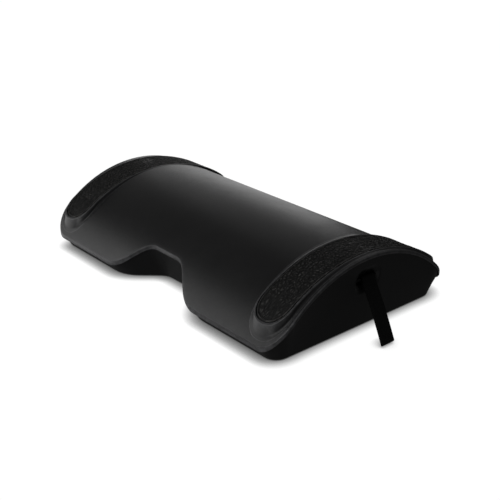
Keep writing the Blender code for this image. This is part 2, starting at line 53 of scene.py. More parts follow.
DECK_LENGTH = 440 * MM
DECK_DEPTH = 253 * MM
COVER_LENGTH = 467.4 * MM
COVER_DEPTH = 275 * MM
CROWN_HEIGHT = 91.8 * MM
EDGE_HEIGHT = 20.3 * MM
CLEARANCE = 0.3 * MM
PARTING_GAP = 0.45 * MM
COVER_WALL = 2.6 * MM
TRAY_WALL = 3.0 * MM
DECK_Z = 1.6 * MM
DECK_THICKNESS = 3.0 * MM
DECK_CHAMFER = 0.8 * MM
DECK_CORNER = 17 * MM
COVER_CORNER = 28 * MM
LIP_OVERHANG = 1.6 * MM


class Notch(NamedTuple):
    """The notch in each long side: a trapezoid with rounded corners."""
    mouth: float
    throat: float
    depth: float
    mouth_radius: float
    throat_radius: float


DECK_NOTCH = Notch(74.7 * MM, 35.8 * MM, 41 * MM, 48 * MM, 19 * MM)
COVER_NOTCH = Notch(72 * MM, 31 * MM, 29.8 * MM, 60 * MM, 34 * MM)

RAIL_X = 201 * MM
RAIL_HALF_WIDTH = 25 * MM
RAIL_TIP = 129 * MM
RAIL_RISE = 0.3 * MM
RAIL_TIP_RISE = 11.3 * MM
RAIL_DRAFT = 1.6 * MM
RAIL_TOE = 2.5 * MM
RAIL_ROUND_END = 25 * MM
STRIP_RIM = 2.2 * MM
STRIP_THICKNESS = 2.4 * MM
STRIP_PROUD = 0.4 * MM

PAD_HALF_LENGTH = 206 * MM
PAD_INNER_Y = 53 * MM
PAD_OUTER_Y = 110 * MM
PAD_NOTCH_MOUTH = 83 * MM
PAD_NOTCH_THROAT = 39 * MM
PAD_NOTCH_Y = 75 * MM
PAD_THICKNESS = 2.0 * MM
PAD_CORNER = 7 * MM
PAD_NOTCH_RADII = (12 * MM, 10 * MM)
PAD_RIM_Z = 0.5 * MM
PAD_RIM_WIDTH = 2.4 * MM
PAD_RIM_SLOPE = 3.2 * MM
PLATE_LENGTH = 243 * MM
PLATE_DEPTH = 55 * MM
PLATE_CORNER = 8 * MM

PIN_CENTRE = Vector((224.5 * MM, 0, 62 * MM))
PIN_RADIUS = 1.6 * MM
STRAP_WIDTH = 19.6 * MM
STRAP_TIP_X = 271 * MM
STRAP_TIP_HEIGHT = 2.2 * MM
STRAP_OFFSET = 5.0 * MM
STRAP_DRIFT = -13.1 * MM
HOUSING_BACK_X = 212 * MM
FLANGE_X = 216 * MM
FLANGE_THICKNESS = 2.2 * MM
EAR_Y = 24 * MM
EAR_RADIUS = 5.2 * MM
EAR_HALF_LENGTH = 8 * MM

# How finely the shells are divided
ROWS = 84
ARC_STEPS = [10, 10, 12, 12, 12, 12]
EDGE_STEPS = [ROWS, 26, 9, 10, 9, 26]


# ---------------------------------------------------------------- the footrest's own curves

def circle_through(half_chord, rise):
    """Radius of the arc that rises this much over this half chord."""
    return (half_chord ** 2 + rise ** 2) / (2 * rise)


ARCH_RADIUS = circle_through(COVER_DEPTH / 2, CROWN_HEIGHT - EDGE_HEIGHT)
ARCH_CENTRE_Z = CROWN_HEIGHT - ARCH_RADIUS


def arch_height(y, inset=0.0):
    """Height of the crowned cover at depth y, or of a surface that lies inset inside it."""
    return ARCH_CENTRE_Z + np.sqrt((ARCH_RADIUS - inset) ** 2 - y ** 2)


RAIL_CROWN = CROWN_HEIGHT + RAIL_RISE
RAIL_RADIUS = circle_through(RAIL_TIP, RAIL_CROWN - arch_height(RAIL_TIP) - RAIL_TIP_RISE)


def rail_height(y):
    """Height of a rocker rail's top."""
    return RAIL_CROWN - RAIL_RADIUS + np.sqrt(RAIL_RADIUS ** 2 - y ** 2)


def end_wall_x(z):
    """Outer face of the tray's leaning end wall."""
    foot_z = DECK_Z + DECK_CHAMFER
    share = (z - foot_z) / (arch_height(0, COVER_WALL + PARTING_GAP) - foot_z)
    return DECK_LENGTH / 2 + share * (COVER_LENGTH / 2 - LIP_OVERHANG - DECK_LENGTH / 2)


# ---------------------------------------------------------------- outlines

def footprint_corners(length, depth, notch):
    """The twelve corners of a rectangle with a notch in each long side, anticlockwise from +X, -Y."""
    x, y = length / 2, depth / 2
    back = [(x, y), (notch.mouth, y), (notch.throat, y - notch.depth)]
    back += [(-px, py) for px, py in reversed(back)]
    front = [(-px, -py) for px, py in back]
    return [Vector(p) for p in front[-1:] + back + front[:-1]]


def inset_corners(corners, distance):
    """The corners of the same outline moved inwards."""
    moved = []
    for before, corner, after in zip(corners[-1:] + corners[:-1], corners, corners[1:] + corners[:1]):
        into = (corner - before).normalized()
        out = (after - corner).normalized()
        normals = Vector((-into.y, into.x)) + Vector((-out.y, out.x))
        moved.append(corner + normals * distance / (1 + into.dot(out)))
    return moved


def corner_arc(before, corner, after, radius, steps):
    """Points round one corner, from its first straight edge to its second."""
    back = (before - corner).normalized()
    ahead = (after - corner).normalized()
    half_angle = back.angle(ahead) / 2
    centre = corner + (back + ahead).normalized() * radius / math.sin(half_angle)
    start = corner + back * radius / math.tan(half_angle) - centre
    end = corner + ahead * radius / math.tan(half_angle) - centre
    turn = math.atan2(start.x * end.y - start.y * end.x, start.dot(end))
    first = math.atan2(start.y, start.x)
    angles = [first + turn * step / steps for step in range(steps + 1)]
    return [centre + radius * Vector((math.cos(a), math.sin(a))) for a in angles]


def rounded_outline(corners, radii, arc_steps, edge_steps):
    """A closed outline as an array: each corner rounded, each straight edge after it divided."""
    count = len(corners)
    arcs = [
        corner_arc(corners[i - 1], corners[i], corners[(i + 1) % count], abs(radii[i]), arc_steps[i])
        for i in range(count)
    ]
    points = []
    for i, arc in enumerate(arcs):
        following = arcs[(i + 1) % count][0]
        points += arc
        points += [arc[-1].lerp(following, step / edge_steps[i]) for step in range(1, edge_steps[i])]
    return np.array([tuple(p) for p in points])


def footprint(length, depth, notch, corner, inset=0.0):
    """The rounded outline of a notched rectangle, moved inwards by inset."""
    corners = inset_corners(footprint_corners(length, depth, notch), inset)
    mouth, throat = notch.mouth_radius, -notch.throat_radius
    radii = [radius - inset for radius in [corner, corner, mouth, throat, throat, mouth] * 2]
    return rounded_outline(corners, radii, ARC_STEPS * 2, EDGE_STEPS * 2)


def deck_outline(inset=0.0):
    return footprint(DECK_LENGTH, DECK_DEPTH, DECK_NOTCH, DECK_CORNER, inset)


def cover_outline(inset=0.0):
    return footprint(COVER_LENGTH, COVER_DEPTH, COVER_NOTCH, COVER_CORNER, inset)


def pad_corners(side):
    """The eight corners of a deck pad, anticlockwise, on the side of y given by its sign."""
    corners = [
        (PAD_HALF_LENGTH, PAD_INNER_Y), (PAD_HALF_LENGTH, PAD_OUTER_Y), (PAD_NOTCH_MOUTH, PAD_OUTER_Y),
        (PAD_NOTCH_THROAT, PAD_NOTCH_Y), (-PAD_NOTCH_THROAT, PAD_NOTCH_Y), (-PAD_NOTCH_MOUTH, PAD_OUTER_Y),
        (-PAD_HALF_LENGTH, PAD_OUTER_Y), (-PAD_HALF_LENGTH, PAD_INNER_Y),
    ]
    return [side * Vector(corner) for corner in corners]


PAD_ARC_STEPS = [8] * 8
PAD_EDGE_STEPS = [24, 6, 20, 8, 20, 6, 24, 60]


def pad_outline(side, grow=0.0, arc_steps=PAD_ARC_STEPS, edge_steps=PAD_EDGE_STEPS):
    """A deck pad's rounded outline, moved outwards by grow."""
    mouth_radius, throat_radius = PAD_NOTCH_RADII
    half = [PAD_CORNER, PAD_CORNER, mouth_radius, -throat_radius]
    radii = [radius + grow for radius in half + half[::-1]]
    corners = inset_corners(pad_corners(side), -grow)
    return rounded_outline(corners, radii, arc_steps, edge_steps)


def box_outline(half_x, half_y, radius, grow=0.0, arc=8, edge=4):
    """A rounded rectangle about the origin."""
    x, y = half_x + grow, half_y + grow
    corners = [Vector(corner) for corner in ((x, -y), (x, y), (-x, y), (-x, -y))]
    return rounded_outline(corners, [radius + grow] * 4, [arc] * 4, [edge] * 4)


def at_height(outline, z):
    """An outline lifted into space; z is a number or one for each point."""
    return np.column_stack([outline, np.broadcast_to(z, len(outline))])


# ---------------------------------------------------------------- mesh building

SHARP_ANGLE = 34.0  # degrees


def add_mesh(name, points, faces, weld=0.0, sharp=SHARP_ANGLE):
    """An object from points and faces, its normals turned outwards and its shading smooth up to an angle."""
    mesh = bpy.data.meshes.new(name)
    mesh.from_pydata([tuple(p) for p in points], [], faces)
    edit = bmesh.new()
    edit.from_mesh(mesh)
    if weld:
        bmesh.ops.remove_doubles(edit, verts=edit.verts, dist=weld)
    bmesh.ops.recalc_face_normals(edit, faces=edit.faces)
    edit.to_mesh(mesh)
    edit.free()
    piece = bpy.data.objects.new(name, mesh)
    bpy.context.scene.collection.objects.link(piece)
    shade(piece, sharp)
    return piece


def shade(piece, sharp=SHARP_ANGLE):
    piece.data.shade_smooth()
    piece.data.set_sharp_from_angle(angle=math.radians(sharp))


def firm(piece):
    """Keep large flat faces flat in the shading, beside their rounded edges."""
    modifier = piece.modifiers.new("firm", "WEIGHTED_NORMAL")
    modifier.keep_sharp = True
    modifier.weight = 60


class Skin:
    """Points and faces gathered into one mesh."""

    def __init__(self):
        self.points = []
        self.faces = []

    def add(self, points):
        start = len(self.points)
        self.points += [tuple(p) for p in points]
        return start

    def grid(self, grid):
        """Quads over a grid of points, shaped rows by columns by 3."""
        rows, columns = grid.shape[:2]
        start = self.add(grid.reshape(-1, 3))
        for r in range(rows - 1):
            for c in range(columns - 1):
                a = start + r * columns + c
                self.faces.append([a, a + 1, a + columns + 1, a + columns])
        return start

    def loops(self, loops):
        """Quads between closed loops of equal length; returns the first index of each."""
        starts = [self.add(loop) for loop in loops]
        count = len(loops[0])
        for a, b in zip(starts, starts[1:]):
            for i in range(count):
                j = (i + 1) % count
                self.faces.append([a + i, a + j, b + j, b + i])
        return starts

    def cap(self, start, count):
        self.faces.append(list(range(start, start + count)))

    def build(self, name, weld=0.0, sharp=SHARP_ANGLE):
        return add_mesh(name, self.points, self.faces, weld, sharp)


def loft(name, loops, sharp=SHARP_ANGLE):
    """A closed body over loops of equal length, with a flat cap on the first and the last."""
    skin = Skin()
    starts = skin.loops(loops)
    skin.cap(starts[0], len(loops[0]))
    skin.cap(starts[-1], len(loops[0]))
    return skin.build(name, sharp=sharp)


def combine(target, tools, operation):
    """Apply a Boolean of every tool to the target, and remove the tools."""
    for tool in tools:
        modifier = target.modifiers.new(tool.name, "BOOLEAN")
        modifier.operation = operation
        modifier.object = tool
    depsgraph = bpy.context.evaluated_depsgraph_get()
    mesh = bpy.data.meshes.new_from_object(target.evaluated_get(depsgraph))
    target.modifiers.clear()
    target.data = mesh
    for tool in tools:
        bpy.data.objects.remove(tool)


def gather(name, pieces, sharp=SHARP_ANGLE):
    """Several closed bodies as one object."""
    edit = bmesh.new()
    for piece in pieces:
        edit.from_mesh(piece.data)
        bpy.data.objects.remove(piece)
    mesh = bpy.data.meshes.new(name)
    edit.to_mesh(mesh)
    edit.free()
    whole = bpy.data.objects.new(name, mesh)
    bpy.context.scene.collection.objects.link(whole)
    shade(whole, sharp)
    return whole


def quarter(steps):
    """(sine, cosine) pairs through a right angle."""
    return [(math.sin(a), math.cos(a)) for a in np.linspace(0, math.pi / 2, steps + 1)]


def ease(t):
    t = np.clip(t, 0, 1)
    return t * t * (3 - 2 * t)


# ---------------------------------------------------------------- the crowned cover

COVER_FILLET = 1.7 * MM
SKIRT_DEPTH = 1.5 * MM  # how far the cover's lip hangs below its underside
SKIRT_WIDTH = 1.25 * MM
LIP_ROUND = 0.5 * MM
LIP_ROUND_MIDDLE = 0.15 * MM


def dome(outline, height):
    """A grid over the whole footprint, following a height over y, whose border is the outline."""
    first = ARC_STEPS[0] + ROWS
    count = sum(ARC_STEPS[1:]) + ARC_STEPS[0] + sum(EDGE_STEPS[1:]) + 1
    columns = outline[first:first + count]
    y = columns[:, 1:2] * np.linspace(-1, 1, ROWS + 1)
    x = np.broadcast_to(columns[:, 0:1], y.shape)
    return np.stack([x, y, height(y)], axis=-1)


def cover_body():
    """The thin crowned cover: a rounded edge, a short lip and a hollow underside."""
    radius = COVER_FILLET
    outer = cover_outline()
    centres = cover_outline(radius)
    outward = (outer - centres) / radius
    centre_z = arch_height(centres[:, 1], radius)
    ball = at_height(centres, centre_z)
    up = np.column_stack([
        np.zeros(len(outer)), centres[:, 1], centre_z - ARCH_CENTRE_Z,
    ]) / (ARCH_RADIUS - radius)
    side = at_height(outward, 0)
    angle = np.arccos(np.clip((up * side).sum(axis=1), -1, 1))[:, None]
    steps = 7
    loops = []
    for step in range(steps + 1):
        share = step / steps
        turn = (np.sin((1 - share) * angle) * up + np.sin(share * angle) * side) / np.sin(angle)
        loops.append(ball + radius * turn)
    border = loops[0]
    low = arch_height(outer[:, 1], COVER_WALL) - SKIRT_DEPTH
    low = np.minimum(low, centre_z - 0.4 * MM)
    loops.append(at_height(outer, low + LIP_ROUND))
    loops.append(at_height(cover_outline(LIP_ROUND_MIDDLE), low + LIP_ROUND_MIDDLE))
    loops.append(at_height(cover_outline(LIP_ROUND), low))
    inner = cover_outline(SKIRT_WIDTH)
    loops.append(at_height(inner, low))
    loops.append(at_height(inner, arch_height(inner[:, 1], COVER_WALL)))
    skin = Skin()
    skin.grid(dome(border[:, :2], arch_height))
    skin.loops(loops)
    skin.grid(dome(inner, lambda y: arch_height(y, COVER_WALL)))
    return skin.build("cover_body", weld=1e-6, sharp=40)


RAIL_POWER = 2.3  # of the rounded ends, between a circle and a square
RAIL_ARC_STEPS = 14
RAIL_SIDE_STEPS = 64
RAIL_FILLET = 2.6 * MM  # between the arch and the rail's wall
RAIL_RIM_ROUND = 1.1 * MM
RAIL_CREST_INSET = 0.9 * MM
RAIL_MOUTH_ROUND = 0.45 * MM


def rail_rows(inset=0.0, toe=0.0, draft=0.0, arc_steps=RAIL_ARC_STEPS, side_steps=RAIL_SIDE_STEPS):
    """(depth, half width) along a rail-shaped outline from its front tip to its back tip."""
    tip, half_width = RAIL_TIP - inset + toe, RAIL_HALF_WIDTH - inset + draft
    round_end = RAIL_ROUND_END - inset + toe
    angles = np.linspace(0, math.pi / 2, arc_steps + 1)[::-1]
    y = tip - round_end * (1 - np.sin(angles) ** (2 / RAIL_POWER))
    width = half_width * np.cos(angles).clip(0) ** (2 / RAIL_POWER)
    straight = tip - round_end
    middle = np.linspace(straight, -straight, side_steps + 1)[1:-1]
    depth = np.concatenate([y, middle, -y[::-1]])
    widths = np.concatenate([width, np.full(len(middle), half_width), width[::-1]])
    return -depth, widths


def rail_loop(x, inset=0.0, toe=0.0, draft=0.0):
    """The same outline as a closed loop of (x, y), one point at each tip."""
    y, width = rail_rows(inset, toe, draft)
    right = np.column_stack([x + width, y])
    left = np.column_stack([x - width, y])[::-1]
    return np.concatenate([right, left[1:-1]])


def close_rail(skin, start, count):
    """Quads across a rail-shaped loop, from side to side."""
    half = count // 2
    for i in range(half):
        right, right_next = start + i, start + i + 1
        left, left_next = start + (count - i) % count, start + count - i - 1
        face = [right, right_next, left_next, left]
        skin.faces.append(list(dict.fromkeys(face)))


def bend(a, corner, b, steps):
    """Loops along a curve from a to b that is drawn towards corner."""
    shares = np.linspace(0, 1, steps + 1)
    return [(1 - t) ** 2 * a + 2 * t * (1 - t) * corner + t ** 2 * b for t in shares]


def rail_body(x):
    """One rocker rail: a foot that grows out of the arch, a steep wall, a rounded rim and its channel."""
    wall_foot = rail_loop(x, 0, RAIL_TOE, RAIL_DRAFT)
    rim_edge = rail_loop(x)
    spread = rail_loop(x, 0, RAIL_TOE + RAIL_FILLET, RAIL_DRAFT + RAIL_FILLET)
    top = at_height(rim_edge, rail_height(rim_edge[:, 1]))
    foot = at_height(wall_foot, arch_height(wall_foot[:, 1]))
    height = np.linalg.norm(top - foot, axis=1)[:, None]
    reach = np.minimum(RAIL_FILLET, 1.2 * height + 0.5 * MM)
    outward = at_height(spread - wall_foot, 0) / RAIL_FILLET
    skirt = foot + outward * reach
    skirt[:, 2] = arch_height(skirt[:, 1]) + 0.015 * MM
    hidden = foot + outward * (reach + 0.4 * MM)
    hidden[:, 2] = arch_height(hidden[:, 1]) - 0.06 * MM
    on_wall = foot + (top - foot) * np.minimum(0.45, reach / height)
    below_rim = top + (foot - top) * np.minimum(0.45, RAIL_RIM_ROUND / height)
    crest = rail_loop(x, RAIL_CREST_INSET)
    crest = at_height(crest, rail_height(crest[:, 1]))
    inner = rail_loop(x, STRIP_RIM - CLEARANCE - RAIL_MOUTH_ROUND)
    inner = at_height(inner, rail_height(inner[:, 1]))
    channel = rail_loop(x, STRIP_RIM - CLEARANCE)
    mouth = at_height(channel, rail_height(channel[:, 1]))
    floor = mouth - np.array([0, 0, STRIP_THICKNESS - STRIP_PROUD + CLEARANCE])
    sunk = at_height(rail_loop(x, 2 * MM), 0)
    sunk[:, 2] = np.minimum(arch_height(sunk[:, 1], 1.6 * MM), floor[:, 2] - 1.2 * MM)
    loops = [sunk, hidden - np.array([0, 0, 0.7 * MM]), hidden]
    loops += bend(skirt, foot, on_wall, 6)
    loops += bend(below_rim, top, crest, 5)
    loops += bend(inner, mouth, mouth - np.array([0, 0, 0.5 * MM]), 3)
    loops += [floor]
    skin = Skin()
    starts = skin.loops(loops)
    count = len(loops[0])
    close_rail(skin, starts[0], count)
    close_rail(skin, starts[-1], count)
    return skin.build("rail_body", weld=1e-7, sharp=50)


def arch_cover():
    return gather("arch_cover_shell", [cover_body(), rail_body(-RAIL_X), rail_body(RAIL_X)], 44)


# ---------------------------------------------------------------- pebbled rubber

def pebbles(x, y, seed):
    """Depth of the rubber's wrinkled, pebbled face at a point, from 0 on top to 1 in a groove."""
    place = Vector((x / MM, y / MM, seed))
    warp = noise.noise_vector(place * 0.21) * 1.3
    near, next_near = noise.voronoi((place + warp) * 0.22)[0][:2]
    groove = 1 - min(1, (next_near - near) / 0.45)
    wrinkle = 1 - abs(noise.noise((place + warp) * 0.19 + Vector((7, 3, 1)))) * 3.2
    grit = noise.noise(place * 1.15)
    return 0.45 * groove ** 1.3 + 0.4 * max(0, wrinkle) ** 2 + 0.15 * (0.5 + grit)


class Slab(NamedTuple):
    """How a rubber piece is mapped: lines(inset) gives stations and the border on each side of them."""
    lines: object
    place: object  # (station, across, height) to a point
    across: int
    seed: float


RELIEF = 1.2 * MM
RELIEF_SEED = 1  # fixes the offsets of noise_vector, which Blender otherwise takes from the clock
RELIEF_FADE = 1.6 * MM  # over which the pebbles rise beside the edge
RUBBER_ROUND = 0.55 * MM
RUBBER_ROUND_STEPS = 4


def slab_grid(slab, inset):
    """The stations along a slab and the places across it, each as a grid."""
    station, low, high = slab.lines(inset)
    share = np.linspace(0, 1, slab.across + 1)
    across = low[:, None] + (high - low)[:, None] * share
    return np.broadcast_to(station[:, None], across.shape), across


def slab_relief(slab, stations, across):
    """Depth of the pebbled face over a grid, fading to nothing at the slab's edge."""
    station, low, high = slab.lines(0)
    edge = np.minimum(across - low[:, None], high[:, None] - across)
    ends = np.minimum(stations - station[0], station[-1] - stations)
    fade = ease((np.minimum(edge, ends) - RUBBER_ROUND) / RELIEF_FADE)
    relief = np.array([
        [pebbles(s, a, slab.seed) if f > 0 else 0 for s, a, f in zip(*row)]
        for row in zip(stations, across, fade)
    ])
    return RELIEF * relief * fade


def close_back(skin, start, rows, wide):
    """Faces over a slab's flat back: strips from side to side, and one face at each end."""
    low_side = [start + i for i in range(rows)]
    high_side = [start + rows - 1 + wide + i for i in range(rows)][::-1]
    for i in range(1, rows - 2):
        skin.faces.append([low_side[i], low_side[i + 1], high_side[i + 1], high_side[i]])
    first_end = [start + 2 * (rows - 1) + wide + i for i in range(wide)]
    skin.faces.append(first_end + [low_side[0], low_side[1], high_side[1]])
    far_end = [start + rows - 1 + i for i in range(wide + 1)]
    skin.faces.append([low_side[-2]] + far_end + [high_side[-2]])


def rubber(name, slab, thickness):
    """A rubber slab with real relief on its outer face and a rounded edge."""
    skin = Skin()
    borders = []
    for sine, cosine in quarter(RUBBER_ROUND_STEPS):
        stations, across = slab_grid(slab, RUBBER_ROUND * (1 - sine))
        depth = np.full(across.shape, RUBBER_ROUND * (1 - cosine))
        if not borders:
            skin.grid(slab.place(stations, across, depth + slab_relief(slab, stations, across)))
        borders.append(border_of(slab.place(stations, across, depth)))
    stations, across = slab_grid(slab, 0)
    borders.append(border_of(slab.place(stations, across, np.full(across.shape, thickness))))
    close_back(skin, skin.loops(borders)[-1], len(across), slab.across)
    return skin.build(name, weld=2e-7, sharp=55)


def border_of(grid):
    """The closed border of a grid of points: its low side, far end, high side and near end."""
    return np.concatenate([grid[:, 0], grid[-1, 1:], grid[-2::-1, -1], grid[0, -2:0:-1]])


STRIP_GAP = 1.1 * MM  # the open line round each strip, beyond the CAD's clearance


def strip_slab(x, seed):
    """A rocker strip: columns along y, following the top of its rail."""
    def lines(inset):
        station, width = rail_rows(STRIP_RIM + STRIP_GAP + inset, arc_steps=18, side_steps=300)
        return station, -width, width

    def place(station, across, depth):
        fall = station / RAIL_RADIUS
        rise = rail_height(station) + STRIP_PROUD
        return np.stack([x + across, station - fall * depth, rise - depth * np.sqrt(1 - fall ** 2)], axis=-1)

    return Slab(lines, place, 56, seed)


def pad_slab(side, seed):
    """A deck pad: columns along x between its straight inner edge and its notched outer edge."""
    def lines(inset):
        outline = pad_outline(1, -inset, [10, 10, 8, 8, 8, 8, 10, 10], [1, 150, 55, 96, 55, 150, 1, 1])
        outer = outline[12:-11]  # all but the inner edge and the arcs at its ends
        half = PAD_HALF_LENGTH - inset
        x = outer[:, 0]
        turn = PAD_CORNER - inset
        past = np.clip(np.abs(x) - (half - turn), 0, turn)
        inner = PAD_INNER_Y + inset + turn - np.sqrt(turn ** 2 - past ** 2)
        return x[::-1], inner[::-1], outer[::-1, 1]

    def place(station, across, depth):
        return np.stack([station, side * across, depth], axis=-1)

    return Slab(lines, place, 68, seed)


# ---------------------------------------------------------------- the flat tray

def tray_body():
    """The flat tray: its deck's rounded edge, the leaning walls and the hollow inside."""
    loops = []
    for sine, cosine in quarter(5):
        outline = deck_outline(DECK_CHAMFER * (1 - sine))
        loops.append(at_height(outline, DECK_Z + DECK_CHAMFER * (1 - cosine)))
    low = loops[-1]
    top = cover_outline(LIP_OVERHANG)
    high = at_height(top, arch_height(top[:, 1], COVER_WALL + PARTING_GAP))
    for share in (0.25, 0.5, 0.75, 1):
        loops.append(low + (high - low) * share)
    inner = cover_outline(LIP_OVERHANG + TRAY_WALL)
    loops.append(at_height(inner, arch_height(inner[:, 1], COVER_WALL + PARTING_GAP)))
    loops.append(at_height(deck_outline(TRAY_WALL), DECK_Z + DECK_THICKNESS))
    return loft("base_tray_shell", loops)


def rim_body(side):
    """The raised, sloping rim round a deck pad, with a rounded crest."""
    width, slope = PAD_RIM_WIDTH, PAD_RIM_SLOPE
    profile = [
        (width - 1.2 * MM, PAD_RIM_Z), (width - 0.3 * MM, PAD_RIM_Z + 0.02 * MM),
        (width + 0.25 * MM, PAD_RIM_Z + 0.14 * MM), (width + 0.7 * MM, PAD_RIM_Z + 0.34 * MM),
        (width + slope * 0.8, DECK_Z - 0.16 * MM), (width + slope + 0.3 * MM, DECK_Z - 0.03 * MM),
        (width + slope + 1.1 * MM, DECK_Z + 0.08 * MM), (width + slope, DECK_Z + DECK_THICKNESS / 3),
    ]
    return loft("rim_body", [at_height(pad_outline(side, grow), z) for grow, z in profile])


RECESS_ROUND = 0.45 * MM


def flared_cutter(outline_of, face_z):
    """A recess cutter whose mouth at face_z is rounded."""
    loops = [at_height(outline_of(CLEARANCE + RECESS_ROUND * 1.3), face_z - 1.5 * MM)]
    for sine, cosine in quarter(4):
        outline = outline_of(CLEARANCE + RECESS_ROUND * (1 - sine))
        loops.append(at_height(outline, face_z + RECESS_ROUND * (1 - cosine)))
    loops.append(at_height(outline_of(CLEARANCE), PAD_THICKNESS + CLEARANCE))
    return loft("recess", loops)


OPENING_Y = 3.0 * MM
OPENING_Z = 61.0 * MM
OPENING_HALF_Y = 14.0 * MM
OPENING_HALF_Z = 7.3 * MM
OPENING_CORNER = 7.0 * MM
OPENING_FLARE = 10.5 * MM  # how far the dimple spreads above and below the hole
OPENING_SIDE_SHARE = 0.55  # of that spread, at the sides
OPENING_CORNER_SHARE = 0.7  # of that spread, added to the corners' radius
OPENING_DEPTH = 4.6 * MM
BOSS_DEPTH = 5.4 * MM
BOSS_MARGIN = 1.2 * MM
CUP_GAP = 0.12 * MM  # between the boss and the cup's rim


def opening_loop(depth, grow=0.0, x=None):
    """The strap's opening at a depth behind the leaning end wall, or at one x."""
    half_y = OPENING_HALF_Y + (OPENING_SIDE_SHARE if grow > 0 else 1) * grow
    corner = OPENING_CORNER + (OPENING_CORNER_SHARE if grow > 0 else 1) * grow
    outline = box_outline(half_y, OPENING_HALF_Z + grow, corner, 0, 10, 3)
    y, z = OPENING_Y + outline[:, 0], OPENING_Z + outline[:, 1]
    across = end_wall_x(z) - depth if x is None else np.full(len(z), x)
    return np.column_stack([across, y, z])


def opening_cutter():
    """A trumpet-shaped cutter, so that the strap leaves a soft dimple."""
    steps = 16
    loops = [opening_loop(-3 * MM, OPENING_FLARE)]
    for step in range(steps + 1):
        share = step / steps
        loops.append(opening_loop(OPENING_DEPTH * share ** 1.6 - 0.02 * MM, OPENING_FLARE * (1 - share)))
    loops.append(opening_loop(BOSS_DEPTH + 2 * MM, 0))
    return loft("opening", loops)


def boss_body():
    """Thicker wall behind the dimple."""
    spread = OPENING_FLARE + BOSS_MARGIN
    return loft("boss", [opening_loop(depth, spread) for depth in (1.2 * MM, BOSS_DEPTH)])


def base_tray():
    tray = tray_body()
    combine(tray, [rim_body(side) for side in (-1, 1)] + [boss_body()], "UNION")
    cutters = [flared_cutter(lambda grow, s=side: pad_outline(s, grow), PAD_RIM_Z) for side in (-1, 1)]
    cutters.append(flared_cutter(
        lambda grow: box_outline(PLATE_LENGTH / 2, PLATE_DEPTH / 2, PLATE_CORNER, grow), DECK_Z))
    cutters.append(opening_cutter())
    combine(tray, cutters, "DIFFERENCE")
    shade(tray, 30)
    firm(tray)
    return tray


def strap_housing():
    """The cup behind the opening: a bowl with a rounded bottom, and its screw flange."""
    back, gap = HOUSING_BACK_X, BOSS_DEPTH + CUP_GAP
    loops = [opening_loop(0, 0.4 * MM, back), opening_loop(0, 2.0 * MM, back + 1.6 * MM)]
    loops.append(opening_loop(gap, 2.4 * MM))
    loops.append(opening_loop(gap, 0.5 * MM))
    loops.append(opening_loop(gap + 0.35 * MM, 0.1 * MM))
    loops.append(opening_loop(gap + 1.5 * MM, -0.1 * MM))
    floor_x = back + 2.2 * MM
    rim = opening_loop(gap + 1.5 * MM, -0.1 * MM)
    for sine, cosine in quarter(7)[1:]:
        grow = -7.5 * MM * (1 - cosine)
        deep = opening_loop(0, grow, floor_x)
        level = rim[:, 0] + (floor_x - rim[:, 0]) * sine
        loops.append(np.column_stack([level, deep[:, 1], deep[:, 2]]))
    cup = loft("cup", loops)
    return gather("strap_housing_cup", [cup] + [flange_ear(side) for side in (-1, 1)], 40)


def flange_ear(side):
    """A lug beside the cup that takes one of its two screws."""
    outline = box_outline(EAR_HALF_LENGTH, EAR_RADIUS, EAR_RADIUS - 0.2 * MM, 0, 8, 2)
    y = side * (EAR_Y + EAR_RADIUS - EAR_HALF_LENGTH) + outline[:, 0]
    z = PIN_CENTRE.z + outline[:, 1]
    ends = (FLANGE_X, FLANGE_X + FLANGE_THICKNESS)
    return loft("ear", [np.column_stack([np.full(len(y), x), y, z]) for x in ends])


PLATE_ROUND = 0.8 * MM


def badge_plate():
    """The plain plate between the deck pads, with a rounded edge."""
    def outline(grow):
        return box_outline(PLATE_LENGTH / 2, PLATE_DEPTH / 2, PLATE_CORNER, grow, 10, 8)

    loops = [at_height(outline(-PLATE_ROUND * (1 - s)), PLATE_ROUND * (1 - c)) for s, c in quarter(6)]
    loops.append(at_height(outline(0), PAD_THICKNESS))
    plate = loft("badge_plate_cap", loops)
    firm(plate)
    return plate


# ---------------------------------------------------------------- the pull strap

WEB_HALF = 0.66 * MM  # half the webbing's thickness
WEB_PITCH = 1.25 * MM  # of the weave's ribs along the strap
WEB_CROSS_PITCH = 1.7 * MM
WEB_RELIEF = 0.055 * MM
SELVEDGE_THINNING = 0.55
SELVEDGE_NARROWING = 0.012
EYE_GAP = 0.35 * MM  # between the pin and the webbing round it
NECK = 8 * MM  # from the pin to where the two layers meet


def strap_frame():
    """The strap's length from the pin, and its directions along and across."""
    tip = Vector((STRAP_TIP_X, STRAP_TIP_HEIGHT)) - PIN_CENTRE.xz
    lean = math.atan2(tip.y, tip.x)
    along = np.array([math.cos(lean), 0, math.sin(lean)])
    across = np.array([-math.sin(lean), 0, math.cos(lean)])
    return tip.length, along, across


def strap_drift(u, length):
    """How far to the side the strap lies at u along it."""
    return STRAP_OFFSET + STRAP_DRIFT * (np.clip(u, 0, None) / length) ** 1.4


